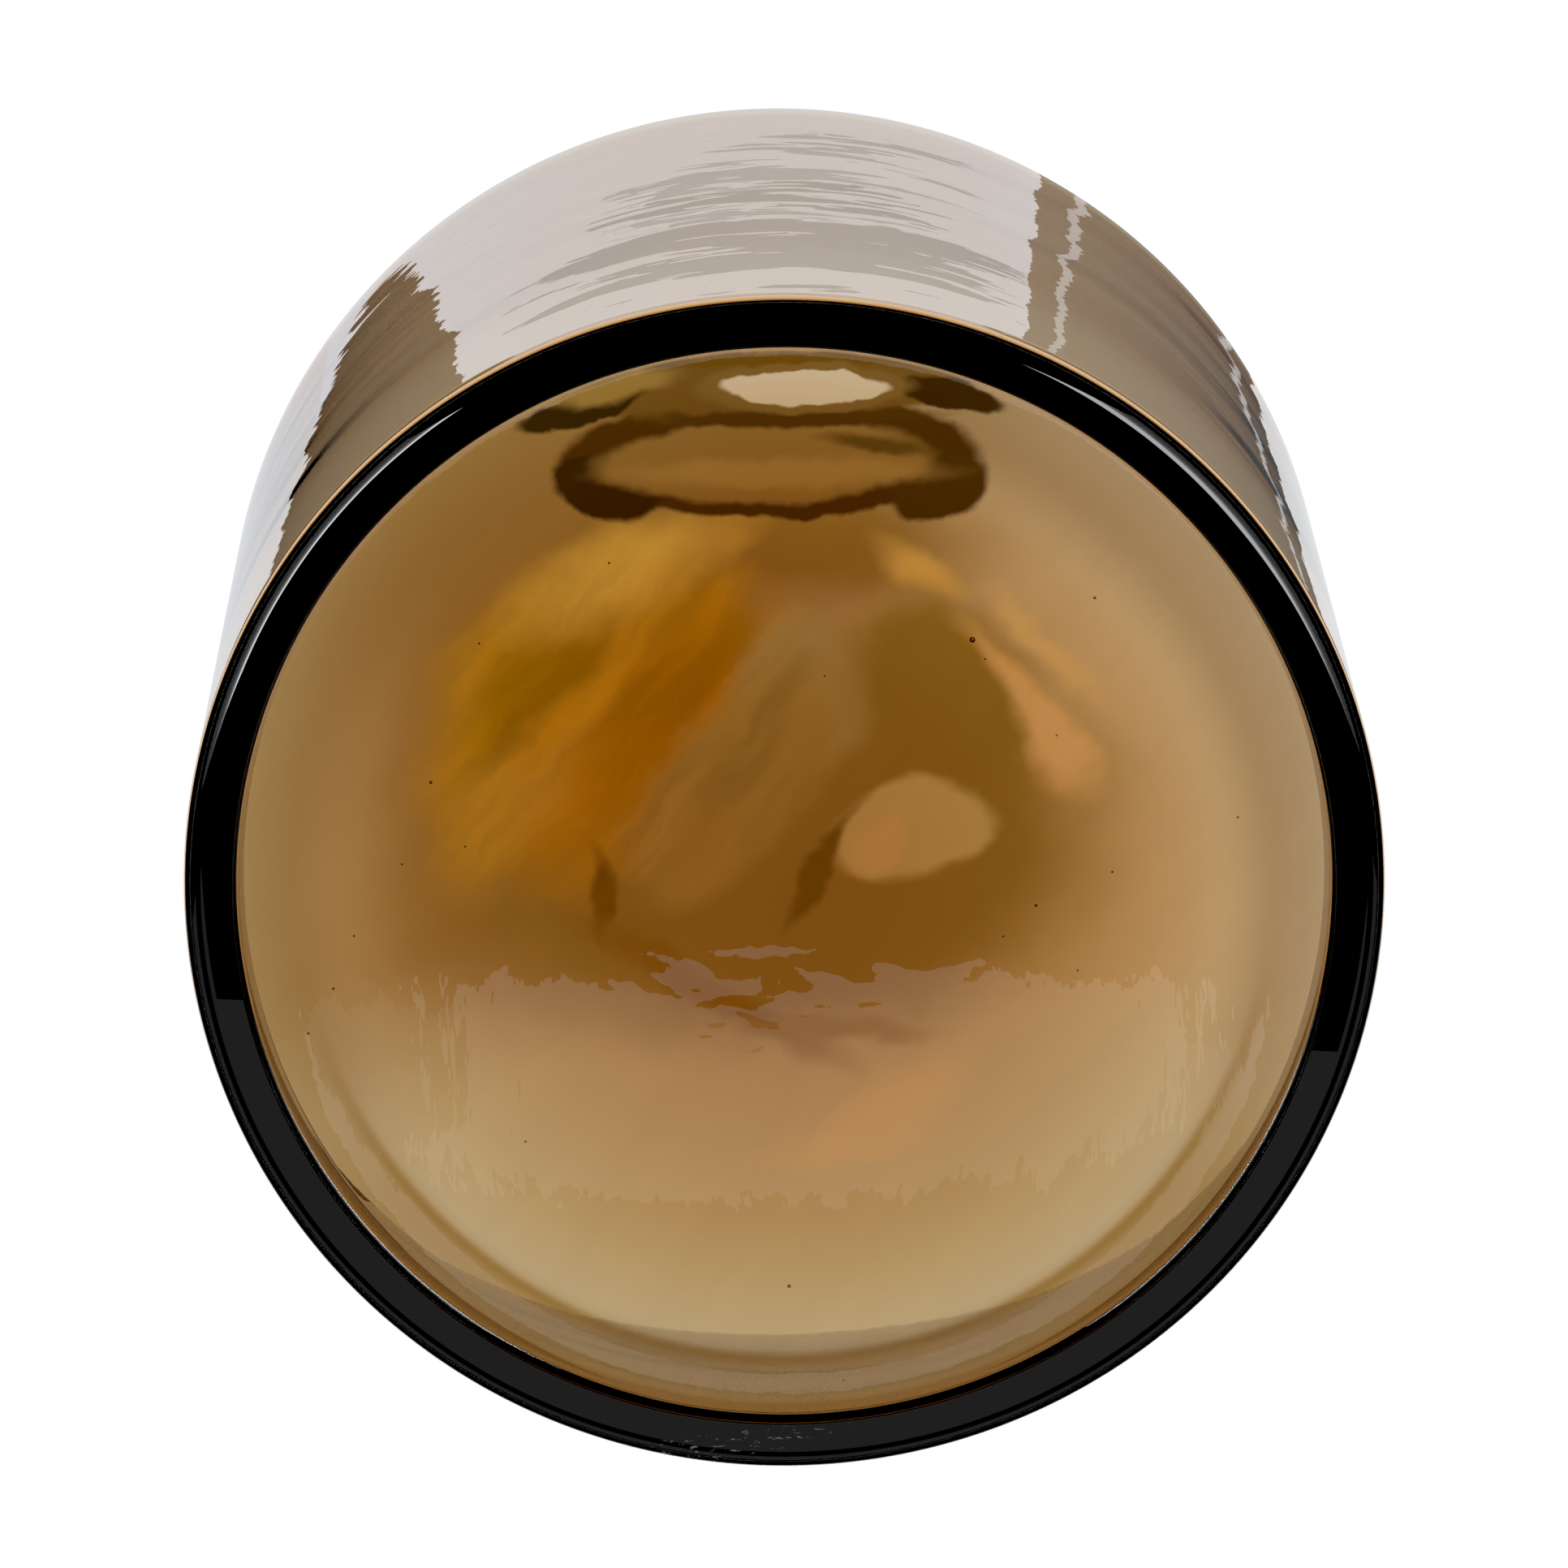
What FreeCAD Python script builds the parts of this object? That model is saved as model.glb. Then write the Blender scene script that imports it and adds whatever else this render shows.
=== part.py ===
import FreeCAD, Part
import Sketcher
import math
import os

# An empty candle jar of smoky brown glass: a straight tumbler with a heavy,
# pushed-up base, a narrow standing ring under it and a fire-polished mouth.
# It stands upright on z = 0 and is centred on the Z axis. Sizes are in mm.

doc = FreeCAD.newDocument("CandleJar")

# Driving dimensions: name, value, what it measures
SIZES = [
    ("outer_diameter", 90.0, "outside of the straight wall"),
    ("jar_height", 90.0, "standing ring to the top of the mouth"),
    ("wall_thickness", 2.8, "glass of the straight wall"),
    ("foot_thickness", 3.6, "glass of the wall at the level of the floor's centre"),
    ("taper_rise", 12.0, "floor's centre up to where the wall turns straight"),
    ("heel_radius", 1.6, "rounded outer edge of the base"),
    ("ring_width", 3.7, "outside of the wall to the inner edge of the standing ring"),
    ("step_width", 0.7, "slope from the standing ring to the dome, across"),
    ("step_height", 0.9, "slope from the standing ring to the dome, upwards"),
    ("dome_rise", 0.3, "rise of the pushed-up underside above the slope"),
    ("base_thickness", 11.7, "glass at the centre of the base"),
    ("floor_crown_radius", 105.0, "bend of the inside floor, which is highest at its centre"),
    ("corner_radius", 2.5, "rounded corner between the inside floor and the wall"),
]

sheet = doc.addObject("Spreadsheet::Sheet", "Sizes")
for row, (alias, value, meaning) in enumerate(SIZES, start=1):
    sheet.set(f"A{row}", meaning)
    sheet.set(f"B{row}", str(value))
    sheet.setAlias(f"B{row}", alias)
doc.recompute()


def size(alias):
    return float(sheet.get(alias))


# Levels and radii that follow from the driving dimensions, as spreadsheet formulas
OUTSIDE = "Sizes.outer_diameter / 2"
INSIDE = OUTSIDE + " - Sizes.wall_thickness"
FOOT_INSIDE = OUTSIDE + " - Sizes.foot_thickness"
RING_INSIDE = OUTSIDE + " - Sizes.ring_width"
DOME_EDGE = RING_INSIDE + " - Sizes.step_width"
DOME_TOP = "Sizes.step_height + Sizes.dome_rise"
FLOOR_TOP = DOME_TOP + " + Sizes.base_thickness"
TAPER_TOP = FLOOR_TOP + " + Sizes.taper_rise"
# The lip is rounded over the whole wall, but for a sliver of land along its crest
LIP_RADIUS = "Sizes.wall_thickness * 0.48"
# The cavity's cutter stands this far above the mouth, so that it cuts clean through
OVERRUN = 2.0

TURN = 360.0
QUARTER_TURN = math.pi / 2
START, END, CENTRE = 1, 2, 3
ORIGIN = (-1, 1)
V_AXIS = -2


def section_sketch(body, name):
    """An empty sketch for a half section of the jar, on the body's own XZ plane."""
    plane = next(item for item in body.Origin.OriginFeatures if item.Role == "XZ_Plane")
    sketch = body.newObject("Sketcher::SketchObject", name)
    sketch.AttachmentSupport = [(plane, "")]
    sketch.MapMode = "FlatFace"
    return sketch


def draw_line(sketch, start, end):
    ends = [FreeCAD.Vector(x, y, 0) for x, y in (start, end)]
    return sketch.addGeometry(Part.LineSegment(*ends), False)


def draw_arc(sketch, centre, radius, start_angle, end_angle):
    circle = Part.Circle(FreeCAD.Vector(*centre, 0), FreeCAD.Vector(0, 0, 1), radius)
    return sketch.addGeometry(Part.ArcOfCircle(circle, start_angle, end_angle), False)


def draw_crown(sketch, edge_radius, bend, top):
    """A shallow arc that rises from its edge to the axis, which it meets level."""
    steepness = math.asin(edge_radius / bend)
    arc = draw_arc(sketch, (0, top - bend), bend, QUARTER_TURN - steepness, QUARTER_TURN)
    for end in (END, CENTRE):
        sketch.addConstraint(Sketcher.Constraint("PointOnObject", arc, end, V_AXIS))
    return arc


def join(sketch, pieces):
    """Joins the end of each piece of an outline to the start of the next."""
    for piece, following in zip(pieces, pieces[1:]):
        sketch.addConstraint(Sketcher.Constraint("Coincident", piece, END, following, START))


def bind(sketch, name, formula, kind, *where):
    """Adds a dimension to the sketch, names it and ties it to the spreadsheet."""
    value = float(sheet.evalExpression(formula))
    index = sketch.addConstraint(Sketcher.Constraint(kind, *where, value))
    sketch.renameConstraint(index, name)
    sketch.setExpression(f"Constraints.{name}", formula)


def place(sketch, name, kind, piece, end, formula):
    """Dimensions one point from the origin: DistanceX goes across and DistanceY up."""
    bind(sketch, name, formula, kind, *ORIGIN, piece, end)


def spin(body, kind, name, sketch):
    """Turns a half section round the jar's axis, to add glass or to cut it."""
    feature = body.newObject(f"PartDesign::{kind}", name)
    feature.Profile = sketch
    feature.ReferenceAxis = (sketch, ["V_Axis"])
    feature.Angle = TURN
    doc.recompute()
    return feature


def cut(body, name, sketch):
    """Turns a half section away from the glass, and makes sure that glass went."""
    before = body.Shape.Volume
    groove = spin(body, "Groove", name, sketch)
    if not groove.Shape.Volume < before:
        raise RuntimeError(f"{name} cut no glass")


def round_edges(body, name, circles, formula):
    """Rounds the circular edges nearest to the given radii and heights."""
    base = body.Tip
    names = []
    for radius, height in circles:
        misses = [(abs(edge.Curve.Radius - radius) + abs(edge.Curve.Center.z - height), number)
                  for number, edge in enumerate(base.Shape.Edges, start=1)
                  if not edge.Degenerated and isinstance(edge.Curve, Part.Circle)]
        names.append(f"Edge{min(misses)[1]}")
    fillet = body.newObject("PartDesign::Fillet", name)
    fillet.Base = (base, names)
    fillet.setExpression("Radius", formula)
    doc.recompute()


def draw_outside(body):
    """The half section of the solid blank."""
    outside = size("outer_diameter") / 2
    mouth = size("jar_height")
    sketch = section_sketch(body, "OutsideSection")
    base = draw_line(sketch, (0, 0), (outside, 0))
    wall = draw_line(sketch, (outside, 0), (outside, mouth))
    top = draw_line(sketch, (outside, mouth), (0, mouth))
    axis = draw_line(sketch, (0, mouth), (0, 0))
    join(sketch, [base, wall, top, axis, base])
    sketch.addConstraint(Sketcher.Constraint("Coincident", base, START, *ORIGIN))
    for level in (base, top):
        sketch.addConstraint(Sketcher.Constraint("Horizontal", level))
    for upright in (wall, axis):
        sketch.addConstraint(Sketcher.Constraint("Vertical", upright))
    place(sketch, "outside", "DistanceX", wall, END, OUTSIDE)
    place(sketch, "mouth", "DistanceY", wall, END, "Sizes.jar_height")
    return sketch


def draw_cavity(body):
    """The half section of the inside: crowned floor, rounded corner, tapering foot and straight wall."""
    inside = size("outer_diameter") / 2 - size("wall_thickness")
    foot_inside = size("outer_diameter") / 2 - size("foot_thickness")
    floor_top = size("step_height") + size("dome_rise") + size("base_thickness")
    taper_top = floor_top + size("taper_rise")
    bend = size("floor_crown_radius")
    corner_radius = size("corner_radius")
    above = size("jar_height") + OVERRUN

    # The corner's circle touches the floor's crown from outside and the tapering foot from inside
    taper = math.atan2(inside - foot_inside, size("taper_rise"))
    reach = bend + corner_radius
    crown_to_foot = foot_inside * math.cos(taper) - bend * math.sin(taper)
    lean = taper + math.asin((crown_to_foot - corner_radius) / reach)
    corner_across = reach * math.sin(lean)
    corner_level = floor_top - bend + reach * math.cos(lean)
    corner_top = (corner_across + corner_radius * math.cos(taper),
                  corner_level - corner_radius * math.sin(taper))

    sketch = section_sketch(body, "CavitySection")
    floor = draw_crown(sketch, bend * math.sin(lean), bend, floor_top)
    corner = draw_arc(sketch, (corner_across, corner_level), corner_radius,
                      -QUARTER_TURN - lean, -taper)
    foot = draw_line(sketch, corner_top, (inside, taper_top))
    wall = draw_line(sketch, (inside, taper_top), (inside, above))
    top = draw_line(sketch, (inside, above), (0, above))
    axis = draw_line(sketch, (0, above), (0, floor_top))
    foot_mark = sketch.addGeometry(Part.Point(FreeCAD.Vector(foot_inside, floor_top, 0)), True)
    sketch.addConstraint(Sketcher.Constraint("Tangent", floor, START, corner, START))
    sketch.addConstraint(Sketcher.Constraint("Tangent", corner, END, foot, START))
    sketch.addConstraint(Sketcher.Constraint("PointOnObject", foot_mark, START, foot))
    join(sketch, [foot, wall, top, axis])
    sketch.addConstraint(Sketcher.Constraint("Coincident", axis, END, floor, END))
    sketch.addConstraint(Sketcher.Constraint("Horizontal", top))
    sketch.addConstraint(Sketcher.Constraint("Vertical", wall))
    sketch.addConstraint(Sketcher.Constraint("PointOnObject", top, END, V_AXIS))
    place(sketch, "inside", "DistanceX", wall, END, INSIDE)
    place(sketch, "taper_top", "DistanceY", wall, START, TAPER_TOP)
    place(sketch, "foot_inside", "DistanceX", foot_mark, START, FOOT_INSIDE)
    place(sketch, "foot_level", "DistanceY", foot_mark, START, FLOOR_TOP)
    place(sketch, "above_mouth", "DistanceY", wall, END, f"Sizes.jar_height + {OVERRUN}")
    place(sketch, "floor_top", "DistanceY", floor, END, FLOOR_TOP)
    bind(sketch, "crown_bend", "Sizes.floor_crown_radius", "Radius", floor)
    bind(sketch, "corner", "Sizes.corner_radius", "Radius", corner)
    return sketch


def draw_dome(body):
    """The half section of the hollow underneath: a short slope, then the pushed-up dome."""
    ring_inside = size("outer_diameter") / 2 - size("ring_width")
    dome_edge = ring_inside - size("step_width")
    step_top = size("step_height")
    rise = size("dome_rise")
    bend = (dome_edge ** 2 + rise ** 2) / (2 * rise)

    sketch = section_sketch(body, "DomeSection")
    under = draw_line(sketch, (0, 0), (ring_inside, 0))
    step = draw_line(sketch, (ring_inside, 0), (dome_edge, step_top))
    crown = draw_crown(sketch, dome_edge, bend, step_top + rise)
    axis = draw_line(sketch, (0, step_top + rise), (0, 0))
    join(sketch, [under, step, crown, axis, under])
    sketch.addConstraint(Sketcher.Constraint("Coincident", under, START, *ORIGIN))
    sketch.addConstraint(Sketcher.Constraint("Horizontal", under))
    place(sketch, "ring_inside", "DistanceX", under, END, RING_INSIDE)
    place(sketch, "dome_edge", "DistanceX", step, END, DOME_EDGE)
    place(sketch, "step_top", "DistanceY", step, END, "Sizes.step_height")
    place(sketch, "dome_top", "DistanceY", crown, END, DOME_TOP)
    return sketch


def build_jar():
    """One gather of glass: a solid blank, hollowed from above and pushed up from below."""
    body = doc.addObject("PartDesign::Body", "GlassJar")
    body.Label = "glass_jar"
    outside = size("outer_diameter") / 2
    inside = outside - size("wall_thickness")
    mouth = size("jar_height")
    spin(body, "Revolution", "Outside", draw_outside(body))
    round_edges(body, "Heel", [(outside, 0)], "Sizes.heel_radius")
    cut(body, "Cavity", draw_cavity(body))
    cut(body, "Dome", draw_dome(body))
    round_edges(body, "Lip", [(outside, mouth), (inside, mouth)], LIP_RADIUS)
    return body


jar = build_jar()
doc.recompute()

for item in doc.Objects:
    if "Invalid" in item.State or "Error" in item.State:
        raise RuntimeError(f"{item.Name} did not build: {item.State}")
if jar.Shape.isNull() or not jar.Shape.isValid() or len(jar.Shape.Solids) != 1:
    raise RuntimeError("the jar is not one valid solid")

os.makedirs("parts", exist_ok=True)
jar.Shape.exportStep(f"parts/{jar.Label}.step")
print(jar.Label, "glass", round(jar.Shape.Volume / 1000, 1), "cm3,", jar.Shape.BoundBox)
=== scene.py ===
import math

import bmesh
import bpy
from bpy.props import FloatProperty, FloatVectorProperty, IntProperty, PointerProperty
from bpy.types import Operator, Panel, PropertyGroup
from mathutils import Matrix, Vector


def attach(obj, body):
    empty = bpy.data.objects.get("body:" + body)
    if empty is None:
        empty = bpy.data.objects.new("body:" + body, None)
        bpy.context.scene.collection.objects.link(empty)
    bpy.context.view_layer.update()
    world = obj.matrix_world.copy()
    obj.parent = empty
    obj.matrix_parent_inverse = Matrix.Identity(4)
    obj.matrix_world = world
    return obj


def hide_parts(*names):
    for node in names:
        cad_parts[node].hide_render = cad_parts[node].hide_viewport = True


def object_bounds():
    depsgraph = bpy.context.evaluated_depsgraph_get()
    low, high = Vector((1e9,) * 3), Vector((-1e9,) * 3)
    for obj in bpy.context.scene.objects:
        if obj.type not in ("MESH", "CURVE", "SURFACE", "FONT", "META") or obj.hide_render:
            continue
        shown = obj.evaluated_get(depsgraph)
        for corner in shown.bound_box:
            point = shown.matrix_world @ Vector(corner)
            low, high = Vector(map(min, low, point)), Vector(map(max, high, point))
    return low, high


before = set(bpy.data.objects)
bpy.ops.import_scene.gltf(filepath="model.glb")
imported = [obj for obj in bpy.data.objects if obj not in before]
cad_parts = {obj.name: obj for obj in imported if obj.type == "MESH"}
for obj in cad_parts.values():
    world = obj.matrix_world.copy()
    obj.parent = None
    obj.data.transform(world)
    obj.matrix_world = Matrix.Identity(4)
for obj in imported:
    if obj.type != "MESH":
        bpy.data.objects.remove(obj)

# The jar stands on z = 0 and is centred on the Z axis. Lengths are in metres.

bl_info = {
    "name": "Smoky glass candle jar",
    "version": (1, 0, 0),
    "blender": (4, 5, 0),
    "location": "View3D > Sidebar > Candle Jar",
    "description": "Builds an empty candle jar of smoky brown glass and a pale studio round it",
    "category": "Add Mesh",
}

CAD_LOW, CAD_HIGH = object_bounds()
BODY = "root"


class JarSizes(PropertyGroup):
    """The jar's section: the CAD model's, with a thinner foot, a tighter corner and a steeper slope."""

    outside_radius: FloatProperty(
        name="Outside radius",
        description="Axis to the outside of the straight wall",
        default=CAD_HIGH.x - 0.00002,
        unit="LENGTH",
    )
    height: FloatProperty(
        name="Height",
        description="Standing ring to the top of the mouth",
        default=CAD_HIGH.z - 0.00001,
        unit="LENGTH",
    )
    wall: FloatProperty(
        name="Wall",
        description="Glass of the straight wall",
        default=0.0028,
        unit="LENGTH",
    )
    foot: FloatProperty(
        name="Foot",
        description="Glass of the wall at the level of the floor's centre",
        default=0.0029,
        unit="LENGTH",
    )
    taper_rise: FloatProperty(
        name="Taper rise",
        description="Floor's centre to where the wall turns straight",
        default=0.012,
        unit="LENGTH",
    )
    heel_radius: FloatProperty(
        name="Heel radius",
        description="Rounded outer edge of the base",
        default=0.0016,
        unit="LENGTH",
    )
    ring_width: FloatProperty(
        name="Ring width",
        description="Outside of the wall to the inner edge of the standing ring",
        default=0.0037,
        unit="LENGTH",
    )
    ring_edge_radius: FloatProperty(
        name="Ring edge radius",
        description="Rounded inner edge of the standing ring",
        default=0.00008,
        unit="LENGTH",
    )
    step_width: FloatProperty(
        name="Step width",
        description="Slope from the standing ring to the dome, across",
        default=0.00012,
        unit="LENGTH",
    )
    step_height: FloatProperty(
        name="Step height",
        description="Slope from the standing ring to the dome, upwards",
        default=0.0009,
        unit="LENGTH",
    )
    dome_rise: FloatProperty(
        name="Dome rise",
        description="Rise of the pushed-up underside above the slope",
        default=0.0003,
        unit="LENGTH",
    )
    dome_rim_radius: FloatProperty(
        name="Dome rim radius",
        description="Bend of the dome's rim, inside which the underside is nearly flat",
        default=0.100,
        unit="LENGTH",
    )
    dome_rim_fall: FloatProperty(
        name="Dome rim fall",
        description="Fall of the dome's rim from the flat middle",
        default=0.0001,
        unit="LENGTH",
    )
    base_thickness: FloatProperty(
        name="Base thickness",
        description="Glass at the centre of the base",
        default=0.0117,
        unit="LENGTH",
    )
    floor_crown_radius: FloatProperty(
        name="Floor crown radius",
        description="Bend of the inside floor, which is highest at its centre",
        default=0.105,
        unit="LENGTH",
    )
    corner_radius: FloatProperty(
        name="Corner radius",
        description="Rounded corner between the inside floor and the wall",
        default=0.0012,
        unit="LENGTH",
    )
    near_end: FloatProperty(
        name="Near end",
        description="From the end of a flat to the first of its inner points",
        default=0.00006,
        unit="LENGTH",
    )
    turns: IntProperty(
        name="Divisions",
        description="Divisions of the glass round the axis",
        default=440,
        min=24,
    )


class GlassLook(PropertyGroup):
    """The colour and surface of the glass."""

    tint: FloatVectorProperty(
        name="Tint",
        description="What the glass lets through most",
        subtype="COLOR",
        size=3,
        default=(0.787, 0.523, 0.077),
    )
    density: FloatProperty(
        name="Density",
        description="How fast the tint deepens with thickness, per metre",
        default=300.0,
    )
    smoke: FloatProperty(
        name="Smoke",
        description="Share of the light that the wall's grey surface film lets through",
        default=0.72,
        min=0.0,
        max=1.0,
    )
    index: FloatProperty(
        name="Index",
        description="Refractive index of soda-lime glass",
        default=1.52,
    )
    wall_ripple: FloatProperty(
        name="Wall ripple",
        description="Depth of the waves that blowing leaves round the wall",
        default=0.000060,
        precision=7,
        unit="LENGTH",
    )
    base_ripple: FloatProperty(
        name="Base ripple",
        description="Depth of the faint waves on the underside",
        default=0.000009,
        precision=7,
        unit="LENGTH",
    )
    press_depth: FloatProperty(
        name="Press depth",
        description="Depth of the marks that the iron left at the middle of the underside",
        default=0.00006,
        precision=7,
        unit="LENGTH",
    )


class StudioLook(PropertyGroup):
    """The pale studio round the jar."""

    floor_colour: FloatVectorProperty(
        name="Floor colour",
        description="Colour of the plain floor",
        subtype="COLOR",
        size=3,
        default=(0.8, 0.8, 0.8),
    )
    room_light: FloatProperty(
        name="Room light",
        description="Even light from all sides on what is not glass",
        default=0.75,
    )


# Steps of the section's curves and straights
CROWN_STEPS = 40
RIM_STEPS = 12
EDGE_STEPS = 6
HEEL_STEPS = 12
WALL_STEPS = 12
LIP_STEPS = 16
CORNER_STEPS = 16


def arc_points(centre, radius, start, end, steps):
    """Points (r, z) of an arc from one angle to another, in degrees."""
    angles = [math.radians(start + (end - start) * step / steps) for step in range(steps + 1)]
    return [(centre[0] + radius * math.cos(a), centre[1] + radius * math.sin(a)) for a in angles]


def crown_points(edge, top, bend, steps):
    """Points (r, z) of a shallow arc from the axis out to its edge."""
    return [(edge * step / steps, top - bend + math.sqrt(bend ** 2 - (edge * step / steps) ** 2))
            for step in range(steps + 1)]


def wall_points(radius, start, end):
    """Points (r, z) along a straight wall."""
    return [(radius, start + (end - start) * step / WALL_STEPS) for step in range(WALL_STEPS + 1)]


def jar_section(sizes):
    """The half section of the glass, from the dome's centre round to the floor's centre."""
    outside = sizes.outside_radius
    inside = outside - sizes.wall
    ring_inside = outside - sizes.ring_width
    dome_edge = ring_inside - sizes.step_width
    dome_top = sizes.step_height + sizes.dome_rise
    floor_top = dome_top + sizes.base_thickness

    # The underside is flat but for its rim, which bends down to the slope
    rim = sizes.dome_rim_radius
    rim_turn = math.degrees(math.acos(1 - sizes.dome_rim_fall / rim))
    rim_start = dome_edge - rim * math.sin(math.radians(rim_turn))
    section = [(rim_start * step / CROWN_STEPS, dome_top) for step in range(CROWN_STEPS)]
    section += arc_points((rim_start, dome_top - rim), rim, 90, 90 - rim_turn, RIM_STEPS)
    slope = math.degrees(math.atan2(dome_top - sizes.dome_rim_fall, sizes.step_width))
    edge = sizes.ring_edge_radius
    bite = edge * math.tan(math.radians(slope / 2))
    section += arc_points((ring_inside + bite, edge), edge, 270 - slope, 270, EDGE_STEPS)

    # Points close to both ends of a flat keep its shading flat
    heel = sizes.heel_radius
    near = sizes.near_end
    section += [(ring_inside + bite + near, 0), (outside - heel - near, 0)]
    section += arc_points((outside - heel, heel), heel, 270, 360, HEEL_STEPS)

    lip = sizes.wall / 2
    straight_to = sizes.height - lip - near
    section += wall_points(outside, heel + near, straight_to)
    section += arc_points((outside - lip, sizes.height - lip), lip, 0, 180, LIP_STEPS)
    section += wall_points(inside, straight_to, floor_top + sizes.taper_rise)

    # The corner's circle touches the taper from inside and the floor's crown from outside
    corner = sizes.corner_radius
    bend = sizes.floor_crown_radius
    taper = math.atan2(sizes.foot - sizes.wall, sizes.taper_rise)
    reach = bend + corner
    crown_to_taper = (outside - sizes.foot) * math.cos(taper) - bend * math.sin(taper)
    lean = taper + math.asin((crown_to_taper - corner) / reach)
    across = reach * math.sin(lean)
    level = floor_top - bend + reach * math.cos(lean)
    section += arc_points((across, level), corner, 360 - math.degrees(taper), 270 - math.degrees(lean),
                          CORNER_STEPS)
    section += reversed(crown_points(bend * math.sin(lean), floor_top, bend, CROWN_STEPS)[:-1])
    return section


def spin_section(bm, section, turns):
    """Turns a half section round the Z axis into a closed shell."""
    vertices = [bm.verts.new((radius, 0, height)) for radius, height in section]
    edges = [bm.edges.new(pair) for pair in zip(vertices, vertices[1:])]
    bmesh.ops.spin(bm, geom=vertices + edges, cent=(0, 0, 0), axis=(0, 0, 1),
                   angle=math.tau, steps=turns, use_merge=True)
    bmesh.ops.remove_doubles(bm, verts=bm.verts, dist=0.000001)
    bmesh.ops.recalc_face_normals(bm, faces=bm.faces)


def finish_piece(bm, name, material):
    """Makes a smooth object of the mesh, which rides on the jar's body."""
    mesh = bpy.data.meshes.new(name)
    bm.to_mesh(mesh)
    bm.free()
    for polygon in mesh.polygons:
        polygon.use_smooth = True
    mesh.materials.append(material)
    piece = bpy.data.objects.new(name, mesh)
    bpy.context.scene.collection.objects.link(piece)
    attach(piece, BODY)
    return piece


def feed(tree, socket, value):
    """Links a socket to another node's output, or sets it where the value is a plain one."""
    if isinstance(value, bpy.types.NodeSocket):
        tree.links.new(value, socket)
    else:
        socket.default_value = value


def calculate(tree, operation, first, second):
    """The result of a math node on two values."""
    node = tree.nodes.new("ShaderNodeMath")
    node.operation = operation
    feed(tree, node.inputs[0], first)
    feed(tree, node.inputs[1], second)
    return node.outputs[0]


def product(tree, first, *others):
    """All the values multiplied."""
    for other in others:
        first = calculate(tree, "MULTIPLY", first, other)
    return first


def mix_shaders(tree, share, first, second):
    """A shader part of the way from the first to the second."""
    node = tree.nodes.new("ShaderNodeMixShader")
    feed(tree, node.inputs["Fac"], share)
    feed(tree, node.inputs[1], first)
    feed(tree, node.inputs[2], second)
    return node.outputs["Shader"]


def blend(tree, share, first, second):
    """A colour part of the way from the first to the second."""
    node = tree.nodes.new("ShaderNodeMix")
    node.data_type = "RGBA"
    feed(tree, node.inputs["Factor"], share)
    feed(tree, node.inputs["A"], first)
    feed(tree, node.inputs["B"], second)
    return node.outputs["Result"]


def fade(tree, value, low, high, from_amount=0.0, to_amount=1.0):
    """A smooth step of the value between two limits."""
    node = tree.nodes.new("ShaderNodeMapRange")
    node.interpolation_type = "SMOOTHSTEP"
    for name, amount in (("Value", value), ("From Min", low), ("From Max", high),
                         ("To Min", from_amount), ("To Max", to_amount)):
        feed(tree, node.inputs[name], amount)
    return node.outputs["Result"]


def grain(tree, place, scale, detail=2.0, rough=0.5, turn=0.0):
    """Noise from 0 to 1 whose scale, per metre, can differ along X, Y and Z, turned by degrees."""
    turned = tree.nodes.new("ShaderNodeMapping")
    feed(tree, turned.inputs["Vector"], place)
    turned.inputs["Rotation"].default_value = (0, 0, math.radians(-turn))
    mapping = tree.nodes.new("ShaderNodeMapping")
    feed(tree, mapping.inputs["Vector"], turned.outputs["Vector"])
    mapping.inputs["Scale"].default_value = scale
    node = tree.nodes.new("ShaderNodeTexNoise")
    node.inputs["Scale"].default_value = 1.0
    node.inputs["Detail"].default_value = detail
    node.inputs["Roughness"].default_value = rough
    feed(tree, node.inputs["Vector"], mapping.outputs["Vector"])
    return node


def spot(tree, place, centre, radii, turn=0.0, soft=0.3):
    """Share of an elliptical spot, in metres and degrees, with a soft edge."""
    mapping = tree.nodes.new("ShaderNodeMapping")
    mapping.vector_type = "TEXTURE"
    feed(tree, mapping.inputs["Vector"], place)
    mapping.inputs["Location"].default_value = (*centre, 0)
    mapping.inputs["Rotation"].default_value = (0, 0, math.radians(turn))
    mapping.inputs["Scale"].default_value = (*radii, 1)
    length = tree.nodes.new("ShaderNodeVectorMath")
    length.operation = "LENGTH"
    feed(tree, length.inputs[0], mapping.outputs["Vector"])
    return fade(tree, length.outputs["Value"], 1 - soft, 1 + soft, 1.0, 0.0)


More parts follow.
